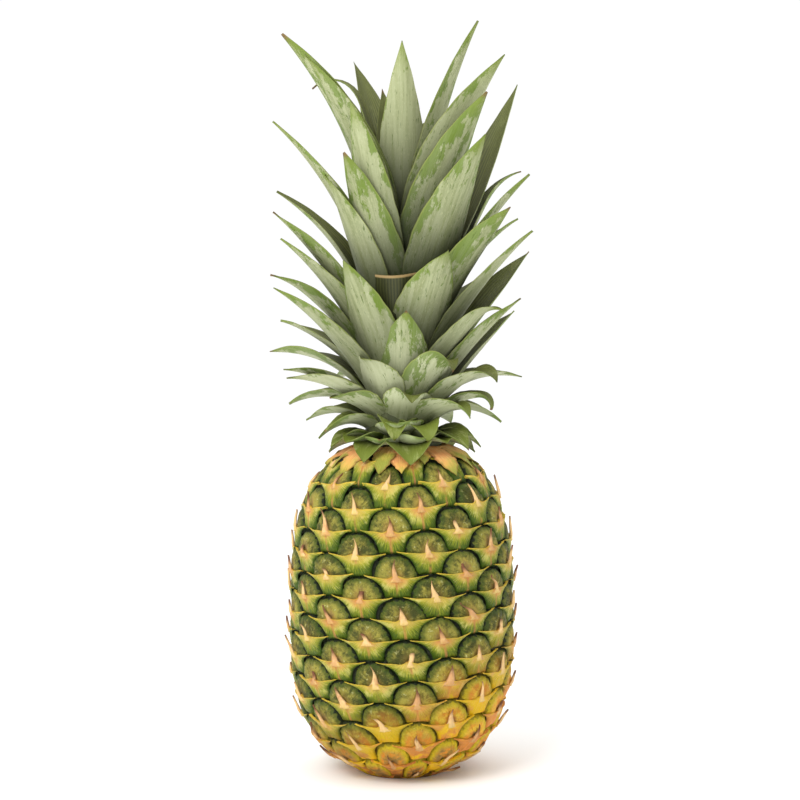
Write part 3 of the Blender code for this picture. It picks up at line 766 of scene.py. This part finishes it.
class LeafSheet:
    """Collects blades into one mesh, with their marks for the shader."""

    def __init__(self):
        self.points, self.faces, self.weave, self.spots, self.outer, self.cut = [], [], [], [], [], []
        self.count = 0

    def add(self, turn, line, width, thick, channel, columns, number, draw, whole=True,
            flutter=0.5, ragged=0.011):
        """Closed blade with both faces, its margins thinner than its middle. Sizes are in millimetres."""
        rows = len(line)
        x = np.linspace(0.0, 1.0, rows)[:, None]
        u = np.sin(np.linspace(-1.0, 1.0, columns) * math.pi / 2.0)[None, :]
        half = np.maximum(width * leaf_width(x, whole), LEAF_TIP_W) / 2.0
        half = half * (1.0 + ragged * (np.sin(31.0 * x + number) + np.sin(53.0 * x + 2.0 * number)))
        angle = math.radians(turn)
        out = np.array([math.sin(angle), -math.cos(angle), 0.0])
        side = np.array([math.cos(angle), math.sin(angle), 0.0])
        along = np.gradient(line, axis=0)
        along /= np.hypot(along[:, 0], along[:, 1])[:, None]
        inward = -along[:, 1:2] * out + along[:, 0:1] * np.array([0.0, 0.0, 1.0])
        middle = line[:, 0:1] * out + line[:, 1:2] * np.array([0.0, 0.0, 1.0])
        wave = draw.uniform(0.0, 6.0)
        cup = channel * half * (0.72 * np.abs(u) ** 2.2 + 0.28 * np.abs(u))
        cup = cup + flutter * smooth(x, 0.1, 0.5) * u * np.abs(u) * np.sin(9.0 * x + wave)
        cup = cup + 0.10 * np.cos(21.0 * u)
        skew = draw.uniform(-0.25, 0.25) * half * x * u
        ply = 0.5 * thick * (1.0 - 0.66 * u ** 4) * (1.0 - 0.72 * x ** 3 * whole)
        faces_at = []
        for face in (-1.0, 1.0):
            lift = cup + skew + face * ply
            offset = (side * (u * half)[:, :, None]) + inward[:, None, :] * lift[:, :, None]
            faces_at.append(middle[:, None, :] + offset)
        points = np.concatenate([f.reshape(-1, 3) for f in faces_at])
        each = rows * columns
        self.faces += grid_faces(rows, columns, self.count)
        self.faces += [face[::-1] for face in grid_faces(rows, columns, self.count + each)]
        for k in range(rows - 1):
            for edge, flip in ((0, False), (columns - 1, True)):
                a = self.count + k * columns + edge
                quad = (a, a + columns, a + columns + each, a + each)
                self.faces.append(quad[::-1] if flip else quad)
        for row, flip in ((0, True), (rows - 1, False)):
            for k in range(columns - 1):
                a = self.count + row * columns + k
                quad = (a, a + 1, a + 1 + each, a + each)
                self.faces.append(quad[::-1] if flip else quad)
        self.points.append(points * MM)
        length = float(np.hypot(*np.diff(line, axis=0).T).sum())
        flat = np.stack(np.broadcast_arrays(u * half * MM, x * length * MM, number * 0.37), axis=-1)
        # A snapped leaf is marked as lying near its root all along, so the painted root shade darkens most of
        # it.
        reached = x if whole else 0.35 * x
        spot = np.stack(np.broadcast_arrays(u, reached, number * GOLDEN_SHARE % 1.0), axis=-1)
        self.weave += [flat.reshape(-1, 3)] * 2
        self.spots += [spot.reshape(-1, 3)] * 2
        self.outer += [np.full(each, float(whole)), np.zeros(each)]
        self.cut += [np.repeat(x[:, 0] ** 24 * (not whole), columns)] * 2
        self.count += 2 * each

    def make(self, name, material, node, slot):
        return piece(name, np.concatenate(self.points), self.faces, material, node,
                     {"outer": np.concatenate(self.outer), "cut": np.concatenate(self.cut)},
                     {"weave": np.concatenate(self.weave), "spot": np.concatenate(self.spots)})


def stem_radius(height):
    share = (height - STEM_FOOT) / (STEM_TOP - STEM_FOOT)
    return STEM_FOOT_R + (STEM_TOP_R - STEM_FOOT_R) * share


def far_leaves():
    """Leaves of the far side, spread by the golden share, with the growth read off the near side."""
    draw = random.Random(SEED)
    growth = np.array(FAR_GROWTH, float)
    for k in range(FAR_LEAVES):
        share = (k + 0.5) / FAR_LEAVES
        root, reach, rise, lean, width = [float(np.interp(share, growth[:, 0], growth[:, c]))
                                          for c in range(1, 6)]
        turn = FAR_ARC_START + k * GOLDEN_SHARE % 1.0 * FAR_ARC + draw.uniform(*FAR_TURN_SPREAD)
        reach = reach * draw.uniform(*FAR_REACH_SPREAD)
        rise = rise + share * draw.uniform(*FAR_RISE_SPREAD)
        lean = lean + draw.uniform(*FAR_LEAN_SPREAD)
        width = width * draw.uniform(*FAR_WIDTH_SPREAD)
        yield turn, root, reach, rise, lean, width, draw.choice(FAR_CURLS)


def crown_leaves(crown, material):
    sheet = LeafSheet()
    for number, row in enumerate(NEAR_LEAVES + (SNAPPED_LEAF,) + tuple(far_leaves())):
        turn, root, reach, rise, lean, width, curl = row
        draw = random.Random(SEED * 300 + number)
        line = leaf_line((stem_radius(root) - ROOT_SUNK, root), reach, rise, lean, curl, LEAF_STATIONS)
        whole = row is not SNAPPED_LEAF
        sheet.add(turn, line, width, crown.thick / MM, crown.channel, LEAF_COLUMNS, number, draw, whole)
    return sheet.make("crown_leaves", material, "crown", "leaf")


def crown_stem(material):
    """The short fluted stem inside the crown, round which the leaf bases are wrapped."""
    sides = 60
    turn = ring_turns(sides)
    heights = np.linspace(CROWN_LOW / MM, STEM_TOP, 26)
    rings = []
    for z in heights:
        flute = 1.0 + 0.02 * np.cos(np.radians(turn * 8.0 + z * 9.0))
        rings.append(around(turn, stem_radius(max(z, STEM_FOOT)) * flute * MM, z * MM))
    rings.append(around(turn, STEM_TIP_R * MM, (STEM_TOP + STEM_TIP_RISE) * MM))
    points = np.concatenate(rings)
    # The stem is marked as the inner face near a leaf root, so the painted root shade darkens it.
    return piece("crown_stem", points, tube_faces(len(rings), sides), material, "crown",
                 {"outer": np.zeros(len(points))},
                 {"weave": points * (1.0, 0.4, 1.0), "spot": np.tile((0.0, 0.2, 0.5), (len(points), 1))})


def collar_pieces(rind, material):
    """The papery neck ring and its bracts, which lie over the shoulder of the fruit."""
    skin, sheet = Skin(rind), LeafSheet()
    draw = random.Random(SEED + 1)
    for k in range(COLLAR_BRACTS):
        turn = 360.0 * k / COLLAR_BRACTS + draw.uniform(*COLLAR_TURN_SPREAD)
        radii = np.linspace(COLLAR_ROOT_R, draw.uniform(*COLLAR_REACH), COLLAR_STATIONS)
        share = np.linspace(0.0, 1.0, COLLAR_STATIONS)
        curl = 0.5 * np.sin(9.0 * share + k) * share
        line = np.c_[radii, skin.shoulder(radii * MM) / MM + COLLAR_CLEAR - COLLAR_SINK + curl]
        width = draw.uniform(*COLLAR_WIDTH)
        sheet.add(turn, line, width, COLLAR_THICK, COLLAR_DROOP, COLLAR_COLUMNS, k,
                  random.Random(SEED * 400 + k), flutter=0.7, ragged=0.07)
    sheet.make("collar_bracts", material, "collar", "dry_bract")
    sides = 72
    turn = ring_turns(sides)
    base, top = COLLAR_RING_FOOT, COLLAR_RING_FOOT + COLLAR_TALL
    outline = ((COLLAR_IN_R, base), (COLLAR_OUT_R - 0.4, base), (COLLAR_OUT_R, base + 0.8),
               (COLLAR_OUT_R - 1.0, top - 0.3), (COLLAR_OUT_R - 2.0, top), (COLLAR_IN_R, top - 0.2))
    flute = 0.25 * np.cos(np.radians(turn * 17.0))
    rings = [around(turn, (r + flute * (r > COLLAR_IN_R)) * MM, z * MM) for r, z in outline + outline[:1]]
    points = np.concatenate(rings)
    faces = [face[::-1] for face in grid_faces(len(rings), sides, closed=True)]
    return piece("collar_ring", points, faces, material, "collar",
                 {"outer": np.ones(len(points))},
                 {"weave": points, "spot": np.tile((0.0, 0.3, 0.4), (len(points), 1))})


def stalk_piece(material):
    """The cut end of the stalk: a fibrous plug with a slightly dished, ringed face."""
    sides = 96
    turn = ring_turns(sides)
    top = STALK_TOP / MM
    flute = 0.25 * np.cos(np.radians(turn * 12.0)) - 0.25
    profile = ((0.35, 0.0, 0.25), (4.0, 0.0, 0.25), (8.0, 0.0, 0.1), (11.0, 0.0, 0.0),
               (STALK_R - 0.5, 1.0, 0.0), (STALK_R, 1.0, 0.6), (STALK_R, 1.0, top * 0.5),
               (STALK_R - 0.4, 1.0, top), (0.5, 0.0, top))
    rings = [around(turn, (r + share * flute) * MM, z * MM) for r, share, z in profile]
    faces = tube_faces(len(rings), sides)
    return piece("stalk_end", np.concatenate(rings), faces, material, "cut_stalk")


# Materials


def ripeness(sheet):
    """Ripeness, 1 at the yellow foot of the fruit, which rises to the right, with the place and height."""
    place = sheet.place()
    east, _, height = sheet.parts(place)
    level = height - 0.46 * east + 0.034 * sheet.noise(place, 34.0, 2.0)
    return level.fade(0.026, 0.074), place, height


def bed_material():
    sheet = Sheet("rind_crease_shade")
    ripe, place, _ = ripeness(sheet)
    # Painted shade: the floor of the creases is near black green, dark brown on the ripe foot, as the shadow
    # at the bottom of each crease.
    colour = sheet.blend(tone(26, 36, 8), tone(112, 78, 14), ripe)
    return sheet.finish(colour, 0.7, sheet.noise(place, 900.0), 0.0003)


def dome_material(rind):
    sheet = Sheet("rind_eye")
    ripe, place, height = ripeness(sheet)
    across, up, share = sheet.parts(sheet.vector("spot"))
    edge = sheet.number("edge")
    mottle = sheet.noise(place, 260.0, 5.0, 0.65)
    broad = sheet.noise(place, 80.0, 2.0)
    fine = sheet.noise(place, 1500.0)
    fibres = sheet.fan(across, up + 0.12, 9.0, 5.0, share)
    bloom = (0.8 * mottle + 0.35 * fibres + 0.35 * broad + 0.16 * share).step(0.68, 0.98)
    speck = sheet.noise(place, 560.0).step(0.58, 0.70) * mottle.step(0.40, 0.60)
    nick = (1.0 - sheet.noise(place, 700.0, 4.0, 0.7)).step(0.58, 0.68)
    inward = (edge + 0.9 * abs(across) + 0.5 * (fibres - 0.5)).fade(0.16, 0.72)
    purple = (sheet.noise(place, 190.0) - 0.25 * edge).step(0.40, 0.52) * share.step(0.35, 0.7)
    gold = sheet.blend(tone(222, 138, 40), tone(230, 188, 52), mottle.step(0.35, 0.65))
    scuffed = (height + 0.03 * (broad - 0.5)).fade(0.010, 0.032) * mottle.step(0.35, 0.6)
    cork = (edge + 0.4 * (mottle - 0.5)).fade(0.10, 0.42)
    # Painted shade: each dome darkened almost to black at its beaded edge, where it falls into its crease;
    # less so on the ripe foot.
    rim_shade = (edge + 0.16 * (sheet.noise(place, 330.0, 3.0, 0.6) - 0.5)).step(0.865, 0.925)
    colour = sheet.coats(
        tuple(rind.eye_green),
        (tuple(rind.eye_pale), bloom),
        (tone(198, 196, 128), speck * 0.7),
        (tone(34, 42, 14), nick * 0.6),
        (tone(178, 144, 66), inward * (0.15 + 0.55 * share)),
        (tone(108, 84, 60), purple * inward * 0.6),
        (gold, ripe * 0.95 * (1.0 - edge.step(0.55, 0.92) * 0.7)),
        (tone(222, 196, 14), ripe * edge.step(0.60, 0.85) * 0.85),
        (tone(110, 84, 54), scuffed * edge.fade(0.5, 0.9) * 0.85),
        (tone(104, 82, 62), cork * (0.12 + 0.75 * ripe * broad.step(0.42, 0.6))),
        (tone(52, 72, 8), edge.step(0.60, 0.84) * (0.75 - 0.6 * ripe)),
        (tone(20, 30, 6), rim_shade * (1.0 - 0.65 * ripe)))
    bumps = mottle * 0.8 + fibres * 0.4 + fine * 0.4 + speck * 0.3
    return sheet.finish(colour, 0.50 + 0.22 * mottle, bumps, 0.0012, 1.0, 0.25)


def bract_material(rind):
    sheet = Sheet("rind_bract")
    ripe, place, height = ripeness(sheet)
    across, up, share = sheet.parts(sheet.vector("spot"))
    edge, side = sheet.number("edge"), sheet.number("side")
    fibres = sheet.fan(across, 0.10 - up, 24.0, 2.2, share)
    hairs = sheet.fan(across, 0.25 - up, 60.0, 3.0, share + 0.4)
    blotch = sheet.noise(place, 150.0, 4.0, 0.6)
    depth = edge - 0.45 * side * side + 1.1 * (fibres - 0.5) + 0.7 * (blotch - 0.5) + 0.5 * (hairs - 0.5)
    patch = (blotch + 0.3 * (hairs - 0.5)).step(0.52, 0.64) * edge.step(0.22, 0.62)
    drop = up + 0.06
    near = (across * across * 1.4 + drop * drop) ** 0.5
    root = (near + 0.5 * (fibres - 0.5)).fade(0.08, 0.52)
    streak = abs(across).fade(0.010, 0.06) * (blotch + 0.2 * share).step(0.46, 0.66)
    warm = (blotch + 0.35 * share).step(0.60, 0.80) * root
    red = edge.step(0.955, 0.99) * blotch.step(0.50, 0.62)
    yellow = sheet.blend(tuple(rind.ripe), tone(228, 144, 62), (blotch + 0.3 * share).step(0.54, 0.72))
    # Painted shade: each bract darkened along its lower edge and down its two sides, where it falls into the
    # creases; less so on the ripe foot.
    crease = (edge - 0.05 * side).fade(0.0, 0.12)
    flank_shade = side.step(0.84, 0.97) * edge.fade(0.80, 0.97)
    burnt = (height + 0.03 * (blotch - 0.5)).fade(0.008, 0.034) * blotch.step(0.50, 0.60)
    colour = sheet.coats(
        tone(66, 88, 8),
        (tuple(rind.bract_green), depth.step(0.02, 0.52)),
        (tone(206, 186, 64), depth.step(0.42, 0.88) * 0.85),
        (tone(214, 206, 118), patch * 0.55),
        (tone(226, 184, 100), root * (0.50 + 0.45 * share)),
        (tone(224, 214, 150), hairs.step(0.54, 0.70) * edge.step(0.2, 0.7) * 0.5),
        (tone(84, 104, 18), (1.0 - hairs).step(0.55, 0.70) * (1.0 - root) * 0.5),
        (tone(196, 122, 76), streak * (0.0 - up).step(0.0, 0.2) * 0.5),
        (tone(206, 120, 66), warm * 0.65),
        (tuple(rind.bract_yellow), edge.step(0.925, 0.985) * blotch.step(0.30, 0.50) * 0.9),
        (tone(190, 92, 50), red * (1.0 - side) * 0.7),
        (yellow, ripe * 0.92),
        (tone(36, 54, 8), crease * (0.9 - 0.5 * ripe)),
        (tone(52, 82, 10), flank_shade * (0.85 - 0.65 * ripe)),
        (tone(128, 72, 34), burnt * (0.15 + 0.5 * fibres)))
    bumps = fibres * 0.7 + hairs * 0.5 + blotch * 0.6
    return sheet.finish(colour, 0.42 + 0.2 * blotch, bumps, 0.0011, 1.0, 0.25)


def tip_material(rind):
    sheet = Sheet("dry_eye_tip")
    spot = sheet.vector("spot")
    share = sheet.parts(spot)[2]
    edge, side = sheet.number("edge"), sheet.number("side")
    fibres = sheet.drawn(spot, (90.0, 4.0, 30.0))
    blotch = sheet.noise(sheet.place(), 220.0)
    colour = sheet.coats(
        tone(214, 184, 104),
        (tuple(rind.dry_tip), (edge + 0.3 * fibres).step(0.12, 0.45)),
        (tone(236, 206, 164), fibres.step(0.52, 0.70) * 0.5),
        (tone(184, 116, 70), (blotch + 0.4 * share).step(0.62, 0.85) * 0.55),
        (tone(150, 84, 50), side.step(0.75, 1.0) * edge.step(0.1, 0.3) * 0.45),
        (tone(98, 54, 34), (edge + 0.45 * share).step(0.78, 1.18) * 0.9))
    return sheet.finish(colour, 0.65, fibres, 0.0005, 0.9, 0.3)


def leaf_material(crown):
    sheet = Sheet("crown_leaf")
    weave = sheet.vector("weave")
    across, along, share = sheet.parts(sheet.vector("spot"))
    outer = sheet.number("outer")
    east, north, height = sheet.parts(sheet.place())
    veins = sheet.drawn(weave, (2600.0, 26.0, 30.0))
    streaks = sheet.drawn(weave, (520.0, 30.0, 30.0), 4.0, 0.6)
    clouds = sheet.drawn(weave, (230.0, 74.0, 30.0), 9.0, 0.72)
    scars = sheet.drawn(weave, (900.0, 120.0, 30.0), 6.0, 0.65)
    grain = sheet.drawn(weave, (1900.0, 500.0, 30.0), 4.0, 0.7)
    late = along.step(0.35, 1.0)
    foot = height.fade(0.195, 0.235)
    wear = clouds + 0.16 * across * across + 0.12 * late + 0.16 * (share - 0.5)
    rubbed = wear.step(0.650, 0.705)
    scarred = (scars + 0.03 * late).step(0.625, 0.650) * along.fade(0.70, 0.90)
    margin = (abs(across) + 0.05 * (clouds - 0.5)).step(0.95, 0.995)
    tip = (along + 0.1 * (clouds - 0.5)).step(0.84, 0.98)
    # Painted shade: each leaf darkened towards its root, in among the other leaves; on the outer face more so
    # higher in the crown.
    root = (along + 0.15 * (streaks - 0.5)).fade(0.16, 0.74)
    root_shade_gain = 0.20 + 0.78 * height.step(0.185, 0.262)
    # Painted shade: the leaves darkened close to the axis in the middle of the crown, in the gaps between
    # them.
    core_shade = ((east * east + north * north) ** 0.5).fade(0.014, 0.036)
    core_shade = core_shade * height.step(0.195, 0.25) * height.fade(0.262, 0.305)
    low = height.fade(0.178, 0.196)
    silver = sheet.coats(
        tuple(crown.outer),
        (tone(130, 138, 92), streaks.step(0.38, 0.66) * 0.85),
        (tone(194, 196, 158), grain.step(0.50, 0.72) * 0.45),
        # painted light: the outer faces lighter high in the crown, as if lit from above
        (tone(190, 194, 146), height.step(0.26, 0.37) * 0.25),
        (tone(204, 208, 172), foot * along.step(0.2, 0.6) * 0.5),
        (tuple(crown.fresh), rubbed * (0.55 + 0.45 * streaks)),
        (tone(78, 98, 32), scarred * 0.75),
        (tone(140, 148, 74), margin * 0.6),
        (tone(116, 132, 48), tip * 0.75),
        (tone(40, 46, 16), root * root_shade_gain),
        (tone(34, 40, 14), core_shade * 0.75),
        (tone(122, 144, 76), low * late * 0.5))
    ribs = 0.5 + 0.5 * across.wave(6.5)
    dark = sheet.coats(
        tuple(crown.inner),
        (tone(94, 96, 48), (streaks * 0.7 + 0.4 * ribs).step(0.40, 0.75) * 0.8),
        (tone(112, 126, 40), late * 0.25 + low * 0.55),
        (tone(156, 162, 100), clouds.step(0.52, 0.62) * (low * 0.5 + late * 0.15)),
        (tone(30, 36, 14), root * 0.75))
    dry = (along + 0.05 * clouds).step(0.985, 1.02) * share.step(0.60, 0.7)
    colour = sheet.coats(
        dark,
        (silver, outer),
        (tone(120, 92, 58), dry * 0.9),
        (tone(146, 122, 76), sheet.number("cut").step(0.55, 0.8)))
    rough = 0.56 + 0.14 * streaks - 0.10 * (1.0 - outer)
    bumps = veins * 0.5 + streaks * 0.4 + rubbed * 0.15 + grain * 0.25
    return sheet.finish(colour, rough, bumps, 0.0004, 0.8, 0.35)


def paper_material(crown):
    sheet = Sheet("papery_bract")
    weave = sheet.vector("weave")
    across, along, share = sheet.parts(sheet.vector("spot"))
    fibres = sheet.drawn(weave, (2200.0, 60.0, 30.0), 3.0, 0.6)
    blotch = sheet.drawn(weave, (180.0, 120.0, 30.0), 3.0, 0.6)
    yellow = (along + 0.6 * (blotch - 0.5) + 0.5 * share).step(0.55, 1.05)
    green = (along + 0.7 * (blotch - 0.5) + 0.5 * share).step(0.72, 1.15)
    edge = (abs(across) + 0.5 * (blotch - 0.5)).step(0.72, 1.0)
    colour = sheet.coats(
        tuple(crown.paper),
        (tone(232, 192, 126), (blotch + 0.3 * share).step(0.45, 0.8)),
        (tone(188, 96, 62), (fibres + 0.4 * blotch).step(0.66, 0.92) * 0.7),
        (tone(204, 176, 64), yellow * 0.7),
        (tone(122, 138, 46), green * 0.8),
        (tone(132, 84, 44), edge * 0.6))
    return sheet.finish(colour, 0.60, fibres + blotch, 0.0008, 0.9, 0.3)


def stalk_material():
    sheet = Sheet("stalk_fibre")
    place = sheet.place()
    east, north, _ = sheet.parts(place)
    distance = (east * east + north * north) ** 0.5
    strands = sheet.drawn(place, (1.0, 1.0, 0.05), 3.0, 0.7, 1500.0)
    rings = (distance + 0.0006 * strands).wave(420.0)
    colour = sheet.coats(
        tone(196, 170, 118),
        (tone(120, 88, 50), strands.step(0.45, 0.62)),
        (tone(92, 66, 40), distance.step(0.0115, 0.0138) * 0.7),
        (tone(220, 200, 150), (0.5 + 0.5 * rings) * 0.25))
    return sheet.finish(colour, 0.85, strands + 0.2 * rings, 0.0006, 1.0)


def floor_material(stage):
    sheet = Sheet("studio_floor")
    grain = sheet.noise(sheet.place(), 60.0)
    colour = sheet.blend(tuple(stage.floor), (0.98, 0.98, 0.98), grain * 0.3)
    return sheet.finish(colour, 0.9, grain, 0.0001, 0.1)


# Operators


class PINEAPPLE_OT_rind(bpy.types.Operator):
    """Build the rind: crease bed, eyes, bracts and dry tips"""
    bl_idname = "pineapple.rind"
    bl_label = "Rind"

    def execute(self, context):
        rind = context.scene.pineapple_rind
        bed_piece(rind, bed_material())
        domes_piece(rind, dome_material(rind))
        bracts_piece(rind, bract_material(rind))
        tips_piece(rind, tip_material(rind))
        return {"FINISHED"}


class PINEAPPLE_OT_crown(bpy.types.Operator):
    """Build the crown: its stem and all of its leaves"""
    bl_idname = "pineapple.crown"
    bl_label = "Crown"

    def execute(self, context):
        crown = context.scene.pineapple_crown
        material = leaf_material(crown)
        crown_stem(material)
        crown_leaves(crown, material)
        return {"FINISHED"}


class PINEAPPLE_OT_collar(bpy.types.Operator):
    """Build the papery collar between fruit and crown"""
    bl_idname = "pineapple.collar"
    bl_label = "Collar"

    def execute(self, context):
        collar_pieces(context.scene.pineapple_rind, paper_material(context.scene.pineapple_crown))
        return {"FINISHED"}


class PINEAPPLE_OT_stalk(bpy.types.Operator):
    """Build the cut end of the stalk in the base"""
    bl_idname = "pineapple.stalk"
    bl_label = "Cut stalk"

    def execute(self, context):
        stalk_piece(stalk_material())
        return {"FINISHED"}


class PINEAPPLE_OT_stage(bpy.types.Operator):
    """Set up the pale floor, the white surroundings, the soft light and the camera"""
    bl_idname = "pineapple.stage"
    bl_label = "Stage"

    def execute(self, context):
        stage = context.scene.pineapple_stage
        scene = context.scene
        floor_disc(stage)
        soft_light("key", KEY_PLACE, KEY_AIM, KEY_SIZE, KEY_POWER)
        scene.world = studio_world()
        scene.view_settings.view_transform = "Standard"
        camera = bpy.data.objects.new("camera", bpy.data.cameras.new("camera"))
        camera.data.lens = stage.lens
        away = stage.distance
        camera.location = (CAMERA_EAST, -away * math.cos(stage.elevation),
                           stage.aim_height + away * math.sin(stage.elevation))
        camera.rotation_euler = (math.pi / 2.0 - stage.elevation, 0.0, 0.0)
        scene.collection.objects.link(camera)
        scene.camera = camera
        return {"FINISHED"}


def studio_world():
    """White low round the horizon, more so at the two sides, and overhead, with a darker band between."""
    sheet = Sheet("studio", "worlds")
    east, _, height = sheet.parts(sheet.node("ShaderNodeTexCoord", output="Generated"))
    level = 1.02 + 0.70 * abs(east).step(0.45, 0.95) - 0.80 * height.step(0.18, 0.34)
    level = level + 1.35 * height.step(0.55, 0.75)
    light = sheet.node("ShaderNodeBackground", None, {"Color": (1.0, 1.0, 1.0), "Strength": level})
    sheet.node("ShaderNodeOutputWorld", None, {"Surface": light}, None)
    return sheet.material


def floor_disc(stage):
    """Round pale floor, wide enough to meet the white of the horizon."""
    sides = 96
    points = around(ring_turns(sides), FLOOR_R, 0.0)
    mesh = bpy.data.meshes.new("floor")
    mesh.from_pydata(points.tolist(), [], [tuple(range(sides))])
    mesh.materials.append(floor_material(stage))
    made = bpy.data.objects.new("floor", mesh)
    bpy.context.scene.collection.objects.link(made)
    made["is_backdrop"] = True


def soft_light(name, place, aim, size, power):
    lamp = bpy.data.lights.new(name, "AREA")
    lamp.size = size
    lamp.energy = power
    made = bpy.data.objects.new(name, lamp)
    bpy.context.scene.collection.objects.link(made)
    reach = [a - p for a, p in zip(aim, place)]
    made.location = place
    made.rotation_euler = (math.atan2(math.hypot(reach[0], reach[1]), -reach[2]), 0.0,
                           math.atan2(reach[1], reach[0]) - math.pi / 2.0)


class PINEAPPLE_PT_panel(bpy.types.Panel):
    """Lists the steps that build the pineapple"""
    bl_idname = "PINEAPPLE_PT_panel"
    bl_label = "Pineapple"
    bl_space_type = "VIEW_3D"
    bl_region_type = "UI"
    bl_category = "Pineapple"

    def draw(self, context):
        for settings in (context.scene.pineapple_rind, context.scene.pineapple_crown,
                         context.scene.pineapple_stage):
            box = self.layout.box()
            for name in settings.__annotations__:
                box.prop(settings, name)
        for step in STEPS:
            self.layout.operator(step.bl_idname)


STEPS = (PINEAPPLE_OT_rind, PINEAPPLE_OT_crown, PINEAPPLE_OT_collar, PINEAPPLE_OT_stalk, PINEAPPLE_OT_stage)
CLASSES = (PINEAPPLE_PG_rind, PINEAPPLE_PG_crown, PINEAPPLE_PG_stage, *STEPS, PINEAPPLE_PT_panel)


def register():
    for made in CLASSES:
        bpy.utils.register_class(made)
    bpy.types.Scene.pineapple_rind = PointerProperty(type=PINEAPPLE_PG_rind)
    bpy.types.Scene.pineapple_crown = PointerProperty(type=PINEAPPLE_PG_crown)
    bpy.types.Scene.pineapple_stage = PointerProperty(type=PINEAPPLE_PG_stage)


def unregister():
    del bpy.types.Scene.pineapple_stage
    del bpy.types.Scene.pineapple_crown
    del bpy.types.Scene.pineapple_rind
    for made in reversed(CLASSES):
        bpy.utils.unregister_class(made)


def main():
    register()
    bpy.ops.pineapple.rind()
    bpy.ops.pineapple.crown()
    bpy.ops.pineapple.collar()
    bpy.ops.pineapple.stalk()
    bpy.ops.pineapple.stage()
    boxes = {"cad": CAD_BOX, "scene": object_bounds()}
    {name: [list(map(float, corner)) for corner in box] for name, box in boxes.items()}


if __name__ == "__main__":
    main()
